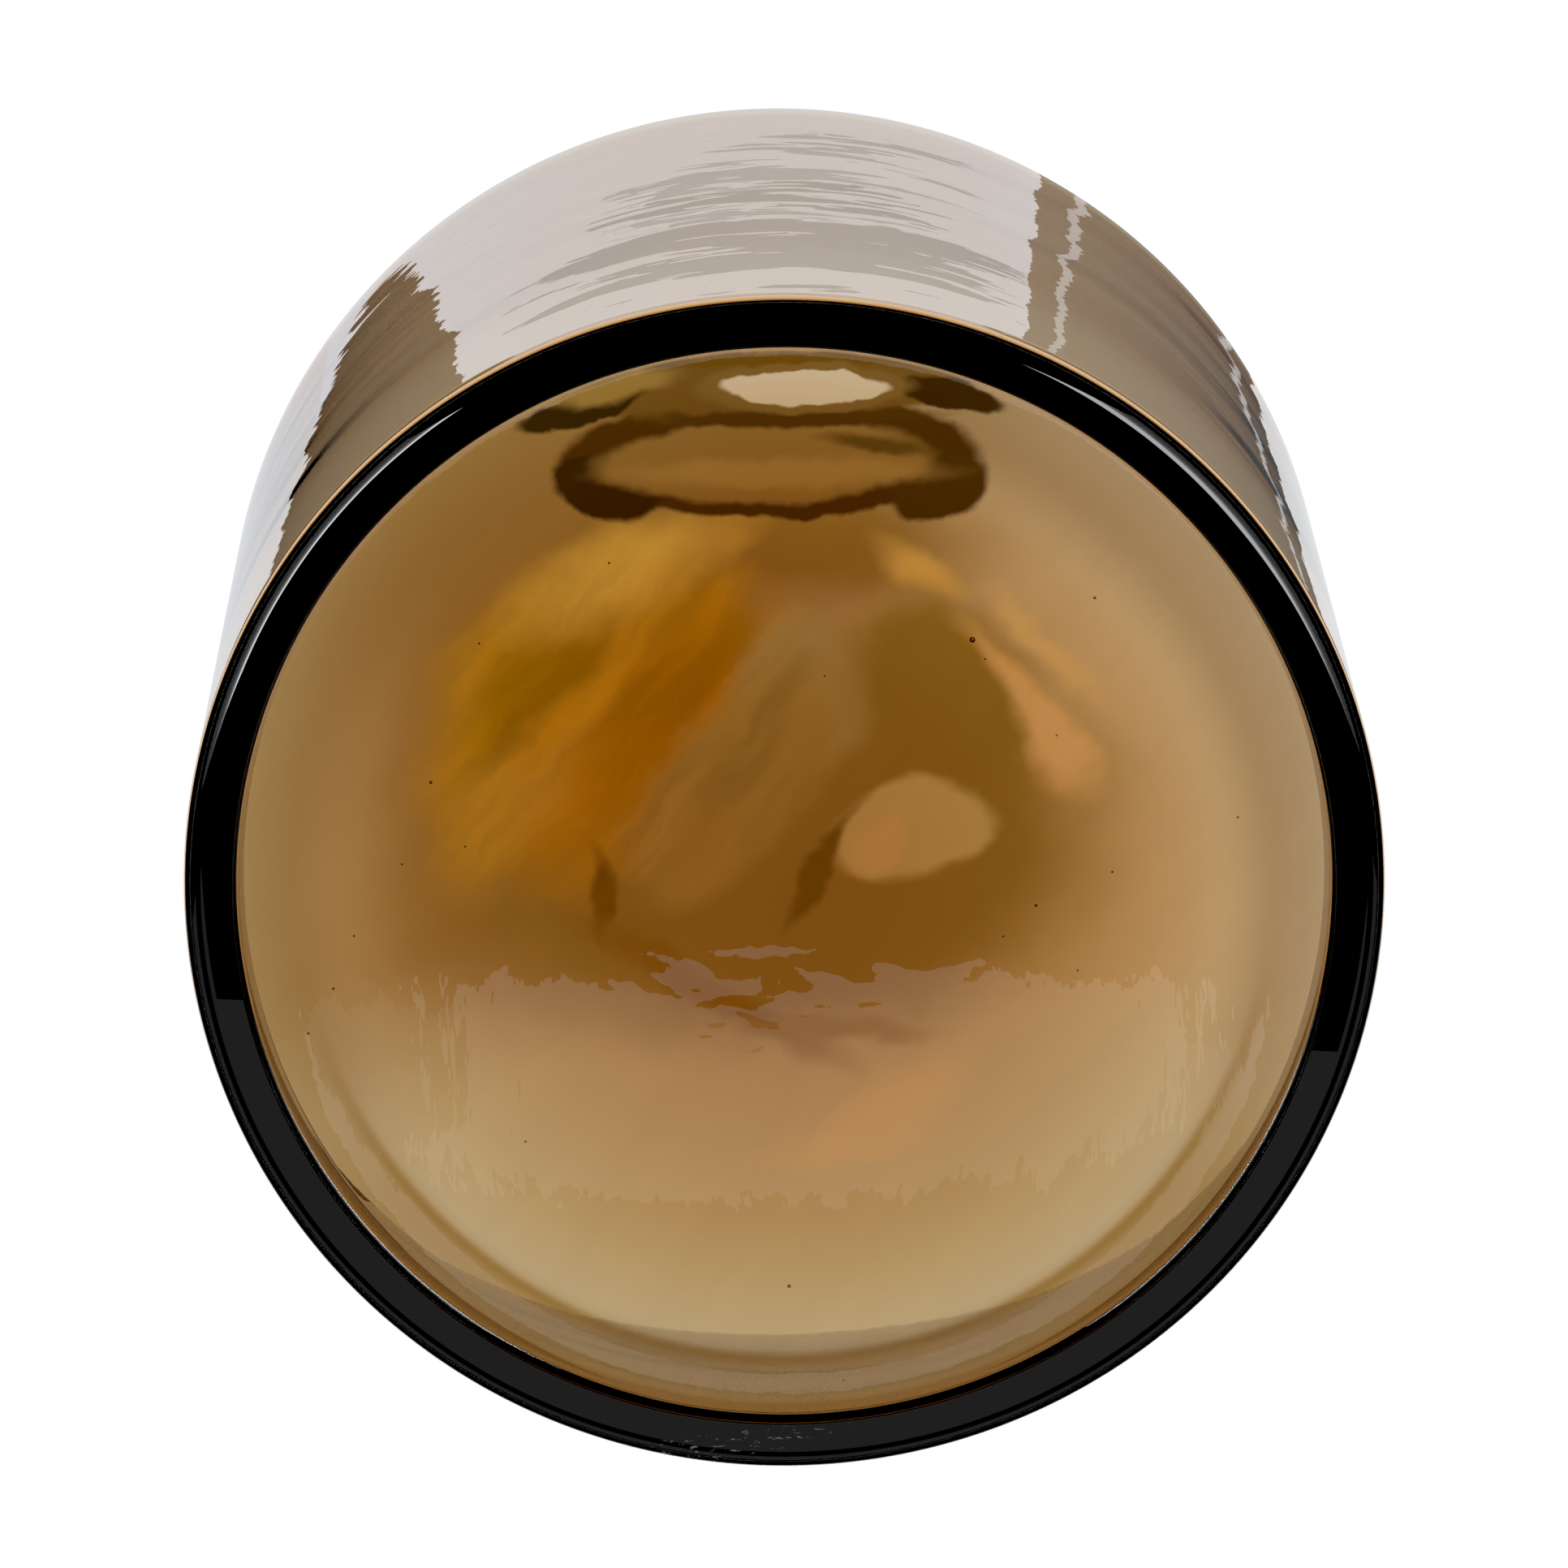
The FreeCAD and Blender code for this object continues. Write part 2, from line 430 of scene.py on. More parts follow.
# Painted light and shade in the base, seen from below, standing in for what its uneven glass refracts:
# centre, radii, turn, softness and the share of red, green and blue that each lets through
PAINTED_REFRACTIONS = (
    ((0.024, 0.002), (0.030, 0.040), 0, 0.55, (0.80, 0.84, 0.90)),
    ((-0.040, 0.004), (0.012, 0.030), 0, 0.7, (0.58, 0.52, 0.38)),
    ((0.000, 0.023), (0.038, 0.018), 0, 0.35, (0.74, 0.83, 0.86)),
    ((-0.001, -0.004), (0.024, 0.0152), 0, 0.28, (0.46, 0.43, 0.18)),
    ((0.000, -0.026), (0.013, 0.004), 0, 0.6, (0.42, 0.33, 0.11)),
    # The amber glow left of the middle, a painted pool of light, with two deep lobes along it
    ((-0.0130, -0.0135), (0.0140, 0.0108), -42, 0.26, (0.72, 0.55, 0.05)),
    ((-0.0200, -0.0080), (0.0035, 0.0075), 28, 0.6, (0.72, 0.60, 0.14)),
    ((-0.0180, -0.0160), (0.0075, 0.0027), -47, 0.5, (0.53, 0.41, 0.005)),
    ((-0.0090, -0.0142), (0.0085, 0.0032), -52, 0.5, (0.64, 0.46, 0.002)),
    ((-0.0138, -0.0165), (0.0090, 0.0010), -48, 0.8, (0.84, 0.66, 0.06)),
    ((-0.0052, -0.0128), (0.0012, 0.0042), 12, 0.5, (0.76, 0.54, 0.005)),
    ((-0.0112, -0.0246), (0.0068, 0.0026), -24, 0.7, (0.92, 0.84, 0.30)),
    ((-0.0040, -0.0262), (0.0030, 0.0014), -30, 0.8, (0.72, 0.60, 0.20)),
    # The grey band from the middle down to the left
    ((0.0018, -0.0150), (0.0058, 0.0052), -20, 0.3, (0.60, 0.68, 0.62)),
    ((-0.0030, -0.0083), (0.0100, 0.0050), -53, 0.3, (0.58, 0.60, 0.38)),
    ((-0.0078, -0.0034), (0.0046, 0.0040), -30, 0.5, (0.62, 0.61, 0.34)),
    # Brown right of the middle, and the bright arcs at its edge as painted highlights
    ((0.0125, -0.0140), (0.0064, 0.0085), -25, 0.35, (0.44, 0.41, 0.13)),
    ((0.0188, -0.0135), (0.0062, 0.0011), 55, 0.7, (0.98, 0.97, 0.85)),
    ((0.0205, -0.0105), (0.0038, 0.0015), 62, 0.8, (1.0, 1.0, 1.0)),
    ((0.0205, -0.0172), (0.0050, 0.0008), 52, 0.8, (0.95, 0.96, 0.86)),
    ((0.0110, -0.0240), (0.0030, 0.0010), 28, 0.8, (0.92, 0.86, 0.45)),
    # The pale blob as painted light, and the dark lines beside it and on the left as painted shade
    ((0.0098, -0.0042), (0.0058, 0.0036), -12, 0.16, (0.80, 0.94, 1.0)),
    ((0.0078, -0.0030), (0.0022, 0.0016), -30, 0.4, (0.90, 0.98, 1.0)),
    ((0.0025, -0.0012), (0.0050, 0.0007), -58, 0.4, (0.30, 0.25, 0.02)),
    ((-0.0137, 0.0002), (0.0034, 0.0007), 84, 0.5, (0.33, 0.24, 0.02)),
    ((-0.0060, 0.0075), (0.0100, 0.0013), 32, 0.6, (0.42, 0.34, 0.06)),
    ((0.0030, 0.0110), (0.0060, 0.0010), 4, 0.6, (0.50, 0.44, 0.12)),
    ((0.0075, 0.0175), (0.0052, 0.0022), -30, 0.8, (0.90, 0.92, 0.82)),
    ((0.0045, 0.0200), (0.0055, 0.0018), -10, 0.8, (0.86, 0.90, 0.82)),
)

# A painted image of the mouth and the far rim, refracted to a small dark-edged window near the top of the
# base
PAINTED_MOUTH_IMAGE = (
    ((-0.0002, -0.0328), (0.0156, 0.0045), 1, 0.05, (0.10, 0.05, 0.002)),
    ((-0.0122, -0.0310), (0.0042, 0.0024), 14, 0.12, (0.06, 0.03, 0.001)),
    ((0.0124, -0.0302), (0.0038, 0.0026), -14, 0.12, (0.10, 0.06, 0.002)),
    ((0.0000, -0.0381), (0.0150, 0.0028), 0, 0.08, (0.22, 0.14, 0.03)),
    ((-0.0140, -0.0367), (0.0048, 0.0010), -14, 0.15, (0.05, 0.03, 0.002)),
    ((0.0132, -0.0371), (0.0042, 0.0011), 15, 0.15, (0.06, 0.03, 0.002)),
    ((-0.0112, -0.0383), (0.0042, 0.0009), -12, 0.4, (0.40, 0.30, 0.10)),
    ((-0.0005, -0.0325), (0.0124, 0.0031), 0, 0.10, (0.37, 0.27, 0.10)),
    ((0.0005, -0.0316), (0.0108, 0.0011), 1, 0.5, (0.48, 0.37, 0.16)),
    ((0.0080, -0.0336), (0.0038, 0.0006), 8, 0.5, (0.16, 0.11, 0.02)),
    ((0.0012, -0.0357), (0.0105, 0.0007), 1, 0.35, (0.11, 0.06, 0.005)),
    ((0.0005, -0.0401), (0.0125, 0.0004), 0, 0.4, (0.20, 0.12, 0.01)),
    ((0.0026, -0.0380), (0.0080, 0.0019), 1, 0.10, (0.27, 0.19, 0.06)),
    ((0.0026, -0.0380), (0.0064, 0.0013), 1, 0.07, (0.80, 0.84, 0.90)),
)


def painted(tree, place, spots, colour):
    """The colour with soft-edged spots of other colours over it."""
    for centre, radii, turn, soft, share in spots:
        colour = blend(tree, spot(tree, place, centre, radii, turn, soft), colour, (*share, 1))
    return colour


def wandering(tree, place, scale, reach):
    """The place moved to and fro by noise: its scale per metre, and its reach in metres."""
    moved = tree.nodes.new("ShaderNodeVectorMath")
    moved.operation = "MULTIPLY_ADD"
    feed(tree, moved.inputs[0], grain(tree, place, (scale, scale, 0), 3.0).outputs["Color"])
    moved.inputs[1].default_value = (reach, reach, 0)
    feed(tree, moved.inputs[2], place)
    centred = tree.nodes.new("ShaderNodeVectorMath")
    centred.operation = "SUBTRACT"
    feed(tree, centred.inputs[0], moved.outputs["Vector"])
    centred.inputs[1].default_value = (reach / 2, reach / 2, 0)
    return centred.outputs["Vector"]


# How far the soft-edged and sharp-edged spots wander: noise scale per metre, and reach
SOFT_WANDER = (130, 0.0050)
SHARP_WANDER = (330, 0.0016)

# Heights between which a face starts or ends
UNDERSIDE_TOP = (0.0025, 0.0030)
WALL_FOOT = (0.0015, 0.0030)
RING_TOP = (0.0001, 0.0002)
SCUFF_TOP = (0.0008, 0.0015)
# Bands inwards from the outside radius and from the dome's edge, and outwards from the ring's inner edge
WALL_BAND = (0.0006, 0.0002)
DOME_BAND = 0.0004
RING_BAND = 0.00002
CREASE_START = (-0.00023, -0.00013)
CREASE_END = (0.00006, 0.00010)
# Distances from the axis, and along Y, between which the lower rim's line and crescent fade
LOWER_HALF = (0.004, 0.026)
CRESCENT = (0.0350, 0.0378)
LINE_START = (0.0358, 0.0366)
LINE_END = (0.0366, 0.0376)
DOME_RIM = (0.0320, 0.0375)

# What each lets through: all, nothing, the base, the crescent of painted rim light, the line of painted
# shade and the dome's rim
ALL = (1, 1, 1, 1)
NOTHING = (0, 0, 0, 1)
BASE_SHARE = (0.43, 0.32, 0.14, 1)
PAINTED_RIM_LIGHT = (0.50, 0.43, 0.27, 1)
PAINTED_RIM_SHADE = (0.43, 0.35, 0.13, 1)
RIM_SHARE = (0.36, 0.25, 0.10, 1)
CHALK = (0.16, 0.16, 0.15, 1)

# Spots that streaks, press marks and scuffs keep to: centre, radii, turn and softness
GLOW = ((-0.012, -0.013), (0.015, 0.012), -42, 0.4)
PRESSED = ((0.000, 0.0065), (0.012, 0.0062), 0, 0.5)
SCUFFED = ((-0.0110, 0.0436), (0.0130, 0.0011), -8, 0.3)


class GlassPlaces:
    """Where a point of the glass lies, and on which of its faces."""

    def __init__(self, tree, sizes):
        self.solid = tree.nodes.new("ShaderNodeTexCoord").outputs["Object"]
        parts = tree.nodes.new("ShaderNodeSeparateXYZ")
        feed(tree, parts.inputs[0], self.solid)
        self.along, self.height = parts.outputs["Y"], parts.outputs["Z"]
        flat = tree.nodes.new("ShaderNodeCombineXYZ")
        feed(tree, flat.inputs["X"], parts.outputs["X"])
        feed(tree, flat.inputs["Y"], self.along)
        self.flat = flat.outputs["Vector"]
        radius = tree.nodes.new("ShaderNodeVectorMath")
        radius.operation = "LENGTH"
        feed(tree, radius.inputs[0], self.flat)
        self.radius = radius.outputs["Value"]
        self.soft = wandering(tree, self.flat, *SOFT_WANDER)
        self.sharp = wandering(tree, self.flat, *SHARP_WANDER)

        # The underside lies lower than the floor, and the outside further out than the inside
        self.ring_inside = sizes.outside_radius - sizes.ring_width
        dome_edge = self.ring_inside - sizes.step_width
        self.low = fade(tree, self.height, *UNDERSIDE_TOP, 1, 0)
        self.underside = product(tree, self.low,
                                 fade(tree, self.radius, dome_edge - DOME_BAND, dome_edge, 1, 0))
        outside = fade(tree, self.radius, *(sizes.outside_radius - inwards for inwards in WALL_BAND))
        self.wall = product(tree, outside, fade(tree, self.height, *WALL_FOOT))


def underside_share(tree, at):
    """What the underside lets through, with painted light and shade for its refractions, lower rim and the
    mouth's image, and its streaks.
    """
    share = painted(tree, at.soft, PAINTED_REFRACTIONS, BASE_SHARE)

    # A line of painted shade and a dim crescent of painted rim light lie along the lower edge of the dome
    lower = fade(tree, at.along, *LOWER_HALF)
    share = blend(tree, product(tree, lower, fade(tree, at.radius, *CRESCENT)), share, PAINTED_RIM_LIGHT)
    line = product(tree, fade(tree, at.radius, *LINE_START), fade(tree, at.radius, *LINE_END, 1, 0))
    share = blend(tree, product(tree, lower, line), share, PAINTED_RIM_SHADE)

    # Streaks run from lower left to upper right, mostly through the amber glow
    streak = grain(tree, at.soft, (55, 330, 0), 3.0, 0.55, -48).outputs["Fac"]
    streak = product(tree, fade(tree, streak, 0.32, 0.68, 0.22, 0.0),
                     fade(tree, spot(tree, at.flat, *GLOW), 0, 1, 0.14, 1.0))
    share = blend(tree, streak, share, NOTHING)

    # Towards its rim the dome lets through less
    edge = product(tree, fade(tree, at.radius, *DOME_RIM), fade(tree, lower, 0, 1, 0.55, 0.15))
    share = blend(tree, edge, share, RIM_SHARE)
    # Last comes the painted image of the mouth and the far rim
    return painted(tree, at.sharp, PAINTED_MOUTH_IMAGE, share)


def glass_share(tree, at, look):
    """What each face of the glass lets through."""
    smoke = (look.smoke, look.smoke * 1.01, look.smoke * 1.04, 1)
    share = blend(tree, at.underside, blend(tree, at.wall, ALL, smoke), underside_share(tree, at))
    # The standing ring and the start of the heel are painted black as shade: no light comes down the wall
    ring = product(tree, fade(tree, at.height, *RING_TOP, 1, 0),
                   fade(tree, at.radius, at.ring_inside - RING_BAND, at.ring_inside + RING_BAND))
    return blend(tree, ring, share, NOTHING)


def squared(tree, colour):
    """The colour multiplied by itself, since one face tints light by the root of a colour."""
    node = tree.nodes.new("ShaderNodeMix")
    node.data_type = "RGBA"
    node.blend_type = "MULTIPLY"
    node.inputs["Factor"].default_value = 1.0
    feed(tree, node.inputs["A"], colour)
    feed(tree, node.inputs["B"], colour)
    return node.outputs["Result"]


def glass_relief(tree, at, look):
    """Waves along the wall's circumference, faint ones on the underside, and its press marks."""
    waves = grain(tree, at.solid, (22, 22, 62), 4.0, 0.36).outputs["Fac"]
    waves = product(tree, waves, at.wall, look.wall_ripple)
    faint = grain(tree, at.flat, (430, 120, 0), 3.0, 0.45).outputs["Fac"]
    faint = product(tree, faint, at.underside, look.base_ripple)
    pressed = grain(tree, at.soft, (95, 190, 0), 2.0, 0.5, 12).outputs["Fac"]
    pressed = product(tree, pressed, spot(tree, at.flat, *PRESSED),
                      product(tree, at.underside, look.press_depth))
    bump = tree.nodes.new("ShaderNodeBump")
    bump.inputs["Distance"].default_value = 1.0
    feed(tree, bump.inputs["Height"], calculate(tree, "ADD", waves, calculate(tree, "ADD", faint, pressed)))
    return bump.outputs["Normal"]


def scuffed(tree, at, shader):
    """The shader with fine chalky scuffs where the heel has rubbed on a shelf."""
    scuffs = fade(tree, grain(tree, at.flat, (1300, 3600, 0), 3.0, 0.6).outputs["Fac"], 0.60, 0.66)
    scuffs = product(tree, scuffs, spot(tree, at.flat, *SCUFFED), fade(tree, at.height, *SCUFF_TOP, 1, 0))
    chalk = tree.nodes.new("ShaderNodeBsdfDiffuse")
    chalk.inputs["Color"].default_value = CHALK
    return mix_shaders(tree, scuffs, shader, chalk.outputs["BSDF"])


def smoky_glass(look, sizes):
    """Clear glass that tints what passes through it, with light and shade painted into its base and waves
    on its skin.
    """
    material = bpy.data.materials.new("smoky_glass")
    material.use_nodes = True
    tree = material.node_tree
    shader = tree.nodes["Principled BSDF"]
    shader.inputs["Roughness"].default_value = 0.0
    shader.inputs["IOR"].default_value = look.index
    shader.inputs["Transmission Weight"].default_value = 1.0

    at = GlassPlaces(tree, sizes)
    feed(tree, shader.inputs["Base Color"], squared(tree, glass_share(tree, at, look)))
    feed(tree, shader.inputs["Normal"], glass_relief(tree, at, look))
    # The ring's fine inner edge would sparkle at every facet, so its reflection is off
    crease = product(tree, fade(tree, at.radius, *(at.ring_inside + outwards for outwards in CREASE_START)),
                     fade(tree, at.radius, *(at.ring_inside + outwards for outwards in CREASE_END), 1, 0),
                     at.low)
    feed(tree, shader.inputs["Specular Tint"], blend(tree, crease, ALL, NOTHING))
    feed(tree, tree.nodes["Material Output"].inputs["Surface"], scuffed(tree, at, shader.outputs["BSDF"]))

    tint = tree.nodes.new("ShaderNodeVolumeAbsorption")
    tint.inputs["Color"].default_value = (*look.tint, 1)
    tint.inputs["Density"].default_value = look.density
    feed(tree, tree.nodes["Material Output"].inputs["Volume"], tint.outputs["Volume"])
    return material


# Gas seeds in the base, seen from below: across, along and radius
SEEDS = (
    (0.0146, -0.0183, 0.00024), (0.0188, 0.0022, 0.00012), (-0.0006, 0.0311, 0.00014),
    (-0.0262, -0.0087, 0.00013), (-0.0123, -0.0250, 0.00010), (-0.0222, -0.0192, 0.00009),
    (0.0238, -0.0212, 0.00012), (0.0207, -0.0108, 0.00009), (0.0246, -0.0002, 0.00010),
    (-0.0201, 0.0192, 0.00010), (-0.0238, -0.0037, 0.00009), (-0.0286, -0.0025, 0.00009),
    (-0.0341, 0.0069, 0.00010), (-0.0324, 0.0029, 0.00009), (-0.0361, 0.0103, 0.00009),
    (0.0163, 0.0045, 0.00009), (0.0218, 0.0073, 0.00008), (0.0341, -0.0041, 0.00009),
    (0.0155, -0.0168, 0.00008), (0.0035, -0.0159, 0.00008), (0.0033, 0.0386, 0.00008),
)
SEED_DEPTH = 0.0014


def add_seeds(bm, sizes):
    """Small gas bubbles just above the underside: shells whose faces look into the gas."""
    level = sizes.step_height + sizes.dome_rise + SEED_DEPTH
    for across, along, radius in SEEDS:
        shell = bmesh.ops.create_icosphere(bm, subdivisions=2, radius=radius,
                                           matrix=Matrix.Translation((across, along, level)))
        faces = {face for vertex in shell["verts"] for face in vertex.link_faces}
        bmesh.ops.reverse_faces(bm, faces=list(faces))


class CANDLEJAR_OT_glass(Operator):
    """Builds the jar's one piece of glass"""

    bl_idname = "candlejar.glass"
    bl_label = "Glass Jar"

    def execute(self, context):
        sizes = context.scene.candlejar_sizes
        bm = bmesh.new()
        spin_section(bm, jar_section(sizes), sizes.turns)
        add_seeds(bm, sizes)
        jar = finish_piece(bm, "smoky_glass_jar", smoky_glass(context.scene.candlejar_glass, sizes))
        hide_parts("glass_jar")
        return {"FINISHED"}


FLOOR_LEVEL = -0.0002
FLOOR_SIZE = 3.0
# Light that has come less far than this, in metres, comes from the glass just above the floor
FLOOR_OPENING = 0.01


def floor_material(look):
    """A plain pale floor that is open from below and right under the glass."""
    material = bpy.data.materials.new("pale_floor")
    material.use_nodes = True
    tree = material.node_tree
    shader = tree.nodes["Principled BSDF"]
    shader.inputs["Base Color"].default_value = (*look.floor_colour, 1)
    shader.inputs["Roughness"].default_value = 0.9
    geometry = tree.nodes.new("ShaderNodeNewGeometry")
    path = tree.nodes.new("ShaderNodeLightPath")
    close = calculate(tree, "LESS_THAN", path.outputs["Ray Length"], FLOOR_OPENING)
    opening = calculate(tree, "MAXIMUM", close, geometry.outputs["Backfacing"])
    clear = tree.nodes.new("ShaderNodeBsdfTransparent")
    mixed = mix_shaders(tree, opening, shader.outputs["BSDF"], clear.outputs["BSDF"])
    feed(tree, tree.nodes["Material Output"].inputs["Surface"], mixed)
    return material


def card_material(name, colour):
    """A plain card that gives off an even light of its own."""
    material = bpy.data.materials.new(name)
    material.use_nodes = True
    tree = material.node_tree
    tree.nodes.remove(tree.nodes["Principled BSDF"])
    glow = tree.nodes.new("ShaderNodeEmission")
    strength = max(*colour, 0.001)
    glow.inputs["Color"].default_value = (*(part / strength for part in colour), 1)
    glow.inputs["Strength"].default_value = strength
    tree.links.new(glow.outputs[0], tree.nodes["Material Output"].inputs["Surface"])
    return material


def direction(polar, azimuth):
    """Unit vector at a polar angle from +Z and an azimuth from -Y towards +X, in degrees."""
    p, a = math.radians(polar), math.radians(azimuth)
    return Vector((math.sin(p) * math.sin(a), -math.sin(p) * math.cos(a), math.cos(p)))


def reflected_card(name, colour, distance, polars, azimuths, pointed=False):
    """A curved card that only reflections see, spanning polar and azimuth angles round the jar."""
    steps = max(2, int(abs(azimuths[1] - azimuths[0]) / 4))
    bm = bmesh.new()
    rows = []
    for polar in (polars[0], (polars[0] + polars[1]) / 2, polars[1]):
        row = []
        for step in range(steps + 1):
            along = step / steps
            # A pointed card narrows to nothing at its ends
            narrowed = polars[1] + (polar - polars[1]) * (1 - (2 * along - 1) ** 2 if pointed else 1)
            row.append(bm.verts.new(direction(narrowed, azimuths[0] + (azimuths[1] - azimuths[0]) * along)
                                    * distance))
        rows.append(row)
    for low, high in zip(rows, rows[1:]):
        for a, b, c, d in zip(low, low[1:], high[1:], high):
            bm.faces.new((a, b, c, d))
    bmesh.ops.remove_doubles(bm, verts=bm.verts, dist=0.00001)
    stand_card(bm, name, colour)


def flat_card(name, colour, level, corners):
    """A flat card at a level above or below the jar, for reflections only."""
    bm = bmesh.new()
    bm.faces.new([bm.verts.new((*corner, level)) for corner in corners])
    stand_card(bm, name, colour)


def stand_card(bm, name, colour):
    """Makes a card of the mesh that nothing sees but reflections."""
    mesh = bpy.data.meshes.new(name)
    bm.to_mesh(mesh)
    bm.free()
    mesh.materials.append(card_material(name, colour))
    card = bpy.data.objects.new(name, mesh)
    bpy.context.scene.collection.objects.link(card)
    for kind in ("camera", "diffuse", "transmission", "shadow", "volume_scatter"):
        setattr(card, f"visible_{kind}", False)


def room_world(look):
    """White to the eye and in the glass, and an even soft light on everything else."""
    world = bpy.data.worlds.new("white_room")
    bpy.context.scene.world = world
    world.use_nodes = True
    tree = world.node_tree
    soft = tree.nodes["Background"]
    soft.inputs["Color"].default_value = (1, 1, 1, 1)
    soft.inputs["Strength"].default_value = look.room_light
    white = tree.nodes.new("ShaderNodeBackground")
    white.inputs["Color"].default_value = (1, 1, 1, 1)
    white.inputs["Strength"].default_value = 1.0
    path = tree.nodes.new("ShaderNodeLightPath")
    seen = calculate(tree, "MAXIMUM", path.outputs["Is Camera Ray"], path.outputs["Is Glossy Ray"])
    seen = calculate(tree, "MAXIMUM", seen, path.outputs["Is Transmission Ray"])
    mixed = mix_shaders(tree, seen, soft.outputs["Background"], white.outputs["Background"])
    feed(tree, tree.nodes["World Output"].inputs["Surface"], mixed)


BLACK = (0, 0, 0)
GREY = (0.33, 0.32, 0.33)

# Curved cards: name, colour, distance, polar angles, azimuths and whether it is pointed
CURVED_CARDS = (
    # Above: a pale ceiling, and two grey bands for the wall's front
    ("ceiling", (0.80, 0.85, 0.94), 2.6, (0, 24), (-112, 112)),
    ("left_ceiling", (0.76, 0.78, 0.82), 2.6, (0, 24), (-180, -112)),
    ("right_ceiling", (0.80, 0.82, 0.84), 2.6, (0, 24), (112, 180)),
    ("far_band", (0.46, 0.53, 0.62), 2.1, (10.24, 10.52), (-36, 50), True),
    ("near_band", (0.37, 0.44, 0.52), 2.1, (10.60, 11.06), (-58, 58), True),
    # Level with the heel and below: a room that is dark, light high up at the front and grey at the back
    ("dark_room", BLACK, 2.7, (40, 180), (-180, 180)),
    ("side_light", (2.4, 2.4, 2.5), 2.6, (70, 90), (-100, 100)),
    ("grey_room", GREY, 2.65, (40, 152), (104, 256)),
)

# Flat cards: name, colour, level and corners
FLAT_CARDS = (
    # Above: dark flags left and right, with a slit of light in the right one
    ("left_flag", BLACK, 2.0, ((-0.8, -0.6), (-0.366, -0.6), (-0.372, 0.6), (-0.8, 0.6))),
    ("right_flag", (0.09, 0.09, 0.09), 2.0, ((0.345, -0.6), (0.8, -0.6), (0.8, 0.6), (0.285, 0.6))),
    ("right_slit", (0.5, 0.52, 0.55), 1.995, ((0.368, -0.6), (0.375, -0.6), (0.319, 0.6), (0.312, 0.6))),
    # Below: the grey card that the ring reflects, and a white one for the middle
    ("grey_card", GREY, -2.0, ((-1.72, 0.42), (-0.8, 0.43), (0.3, 0.519), (0.8, 0.53), (1.7, 0.50),
                               (1.5, 1.0), (0.95, 1.5), (-0.95, 1.5), (-1.5, 1.0))),
    ("white_card", (1.0, 1.0, 0.95), -1.99,
     ((-0.088, 0.478), (-0.083, 0.517), (-0.096, 0.521), (-0.084, 0.529), (-0.055, 0.535), (0.0, 0.539),
      (0.058, 0.534), (0.089, 0.524), (0.098, 0.515), (0.103, 0.489), (0.100, 0.484))),
)

# Strip lights beside the heel: name, colour, azimuths, and rows of two polar angles and a brightness
STRIPS = (
    ("right_strip", (0.95, 0.96, 1.0), (46, 92),
     ((147, 164, 9.5), (141, 147, 4.0), (132, 141, 1.6), (116, 132, 0.7))),
    ("left_strip", (0.95, 0.97, 1.0), (-92, -46),
     ((146, 153, 15.0), (140, 146, 4.0), (131, 140, 1.4), (116, 131, 0.7))),
)
STRIP_DISTANCE = 1.8

LAMP_PLACE = (-0.4, -0.3, 1.1)
LAMP_SIZE = 0.8
LAMP_ENERGY = 4.0

# The camera looks up at the base: it leans this far from the jar's axis, rolled a little
CAMERA_LEAN = math.radians(12.42)
CAMERA_ROLL = math.radians(-1.80)
# From the camera to the centre of the base, in outside radii: right, down and ahead
BASE_FROM_CAMERA = (0.001, 0.178, 19.33)
LENS_PIXELS = 14327
FRAME_PIXELS = 1932
SENSOR_WIDTH = 36.0


def place_camera(context):
    """A long lens below the base, a little off the jar's axis."""
    radius = context.scene.candlejar_sizes.outside_radius
    ahead = Vector((0, math.sin(CAMERA_LEAN), math.cos(CAMERA_LEAN)))
    level_up = Vector((0, -math.cos(CAMERA_LEAN), math.sin(CAMERA_LEAN)))
    level_right = Vector((1, 0, 0))
    right = level_right * math.cos(CAMERA_ROLL) + level_up * math.sin(CAMERA_ROLL)
    up = level_up * math.cos(CAMERA_ROLL) - level_right * math.sin(CAMERA_ROLL)
    across, down, forward = BASE_FROM_CAMERA
    data = bpy.data.cameras.new("camera")
    data.lens = LENS_PIXELS * SENSOR_WIDTH / FRAME_PIXELS
    data.sensor_width = SENSOR_WIDTH
    data.clip_start, data.clip_end = 0.01, 100
    camera = bpy.data.objects.new("camera", data)
    context.scene.collection.objects.link(camera)
    turn = Matrix((right, up, -ahead)).transposed().to_4x4()
    place = (ahead * forward + right * across - up * down) * -radius
    camera.matrix_world = Matrix.Translation(place) @ turn
    context.scene.camera = camera


def add_floor(look):
    """A plain pale floor just under the jar."""
    bm = bmesh.new()
    bmesh.ops.create_grid(bm, x_segments=1, y_segments=1, size=FLOOR_SIZE)
    bmesh.ops.translate(bm, verts=bm.verts, vec=(0, 0, FLOOR_LEVEL))
    mesh = bpy.data.meshes.new("floor")
    bm.to_mesh(mesh)
    bm.free()
    mesh.materials.append(floor_material(look))
    floor = bpy.data.objects.new("floor", mesh)
    bpy.context.scene.collection.objects.link(floor)


def add_cards():
    """All the cards and strip lights that the glass reflects."""
    for card in CURVED_CARDS:
        reflected_card(*card)
    for card in FLAT_CARDS:
        flat_card(*card)
    for name, colour, azimuths, rows in STRIPS:
        for lower, upper, glow in rows:
            reflected_card(name, [part * glow for part in colour], STRIP_DISTANCE, (lower, upper), azimuths)


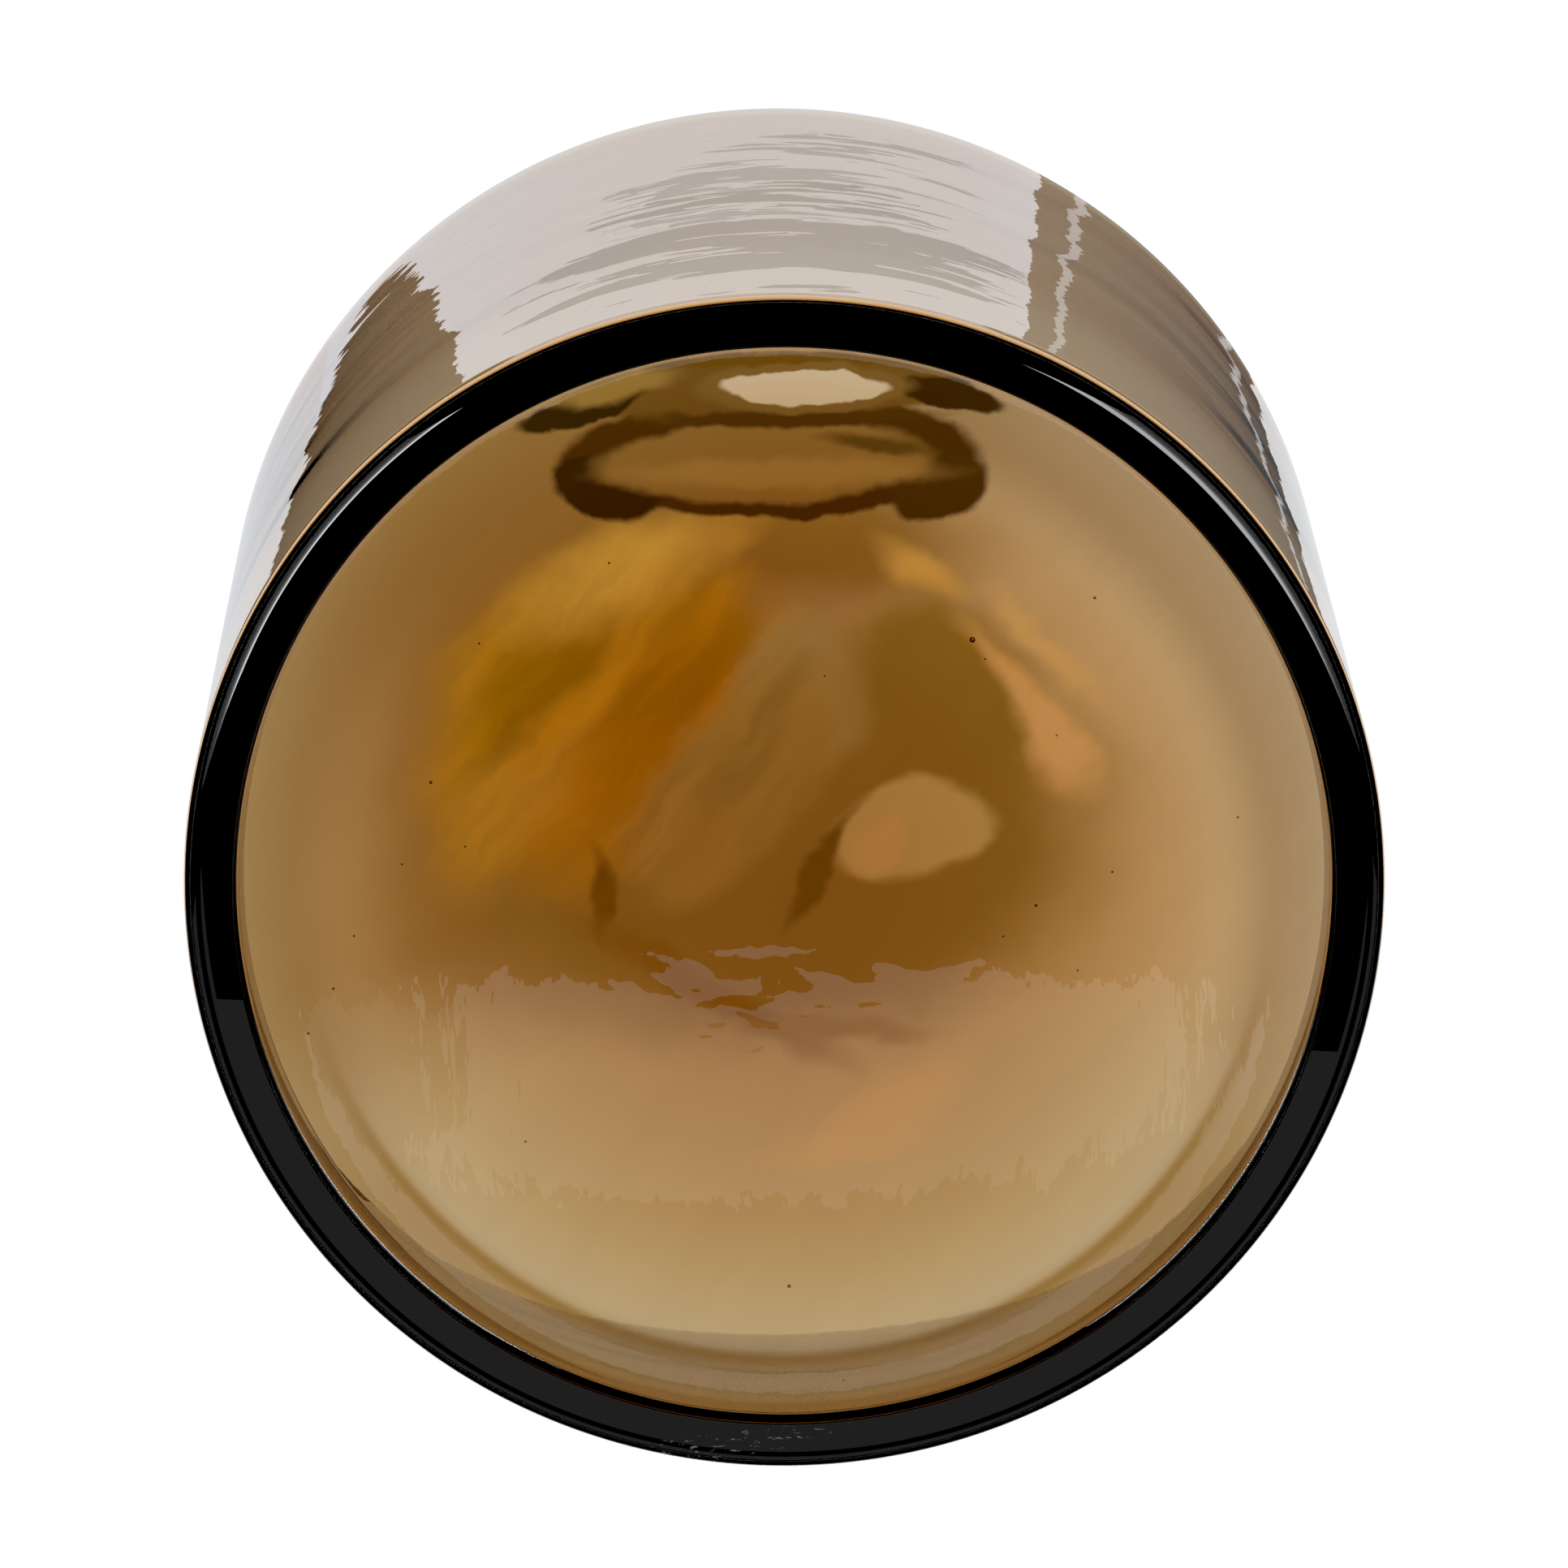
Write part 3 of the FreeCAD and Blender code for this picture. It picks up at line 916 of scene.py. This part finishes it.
def add_lamp():
    """A soft lamp over the jar that only the floor shows."""
    soft = bpy.data.lights.new("overhead", "AREA")
    soft.shape = "DISK"
    soft.size = LAMP_SIZE
    soft.energy = LAMP_ENERGY
    lamp = bpy.data.objects.new("overhead", soft)
    lamp.location = LAMP_PLACE
    lamp.rotation_euler = (-Vector(LAMP_PLACE)).to_track_quat("-Z", "Y").to_euler()
    lamp.visible_glossy = False
    lamp.visible_transmission = False
    bpy.context.scene.collection.objects.link(lamp)


class CANDLEJAR_OT_stage(Operator):
    """Sets the floor, the soft light, the cards that the glass reflects and the camera"""

    bl_idname = "candlejar.stage"
    bl_label = "Pale Studio"

    def execute(self, context):
        look = context.scene.candlejar_studio
        add_floor(look)
        room_world(look)
        add_cards()
        add_lamp()
        place_camera(context)
        context.scene.view_settings.view_transform = "Standard"
        return {"FINISHED"}


class CANDLEJAR_PT_panel(Panel):
    """Lists the jar's piece and the stage"""

    bl_label = "Candle Jar"
    bl_idname = "CANDLEJAR_PT_panel"
    bl_space_type = "VIEW_3D"
    bl_region_type = "UI"
    bl_category = "Candle Jar"

    def draw(self, context):
        for group in (context.scene.candlejar_sizes, context.scene.candlejar_glass,
                      context.scene.candlejar_studio):
            box = self.layout.box()
            for name in group.__annotations__:
                box.prop(group, name)
        for step in STEPS:
            self.layout.operator(step.bl_idname)


STEPS = (CANDLEJAR_OT_glass, CANDLEJAR_OT_stage)
CLASSES = (JarSizes, GlassLook, StudioLook, *STEPS, CANDLEJAR_PT_panel)


def register():
    for cls in CLASSES:
        bpy.utils.register_class(cls)
    bpy.types.Scene.candlejar_sizes = PointerProperty(type=JarSizes)
    bpy.types.Scene.candlejar_glass = PointerProperty(type=GlassLook)
    bpy.types.Scene.candlejar_studio = PointerProperty(type=StudioLook)


def unregister():
    del bpy.types.Scene.candlejar_studio
    del bpy.types.Scene.candlejar_glass
    del bpy.types.Scene.candlejar_sizes
    for cls in reversed(CLASSES):
        bpy.utils.unregister_class(cls)


def main():
    register()
    bpy.ops.candlejar.glass()
    bpy.ops.candlejar.stage()


if __name__ == "__main__":
    main()
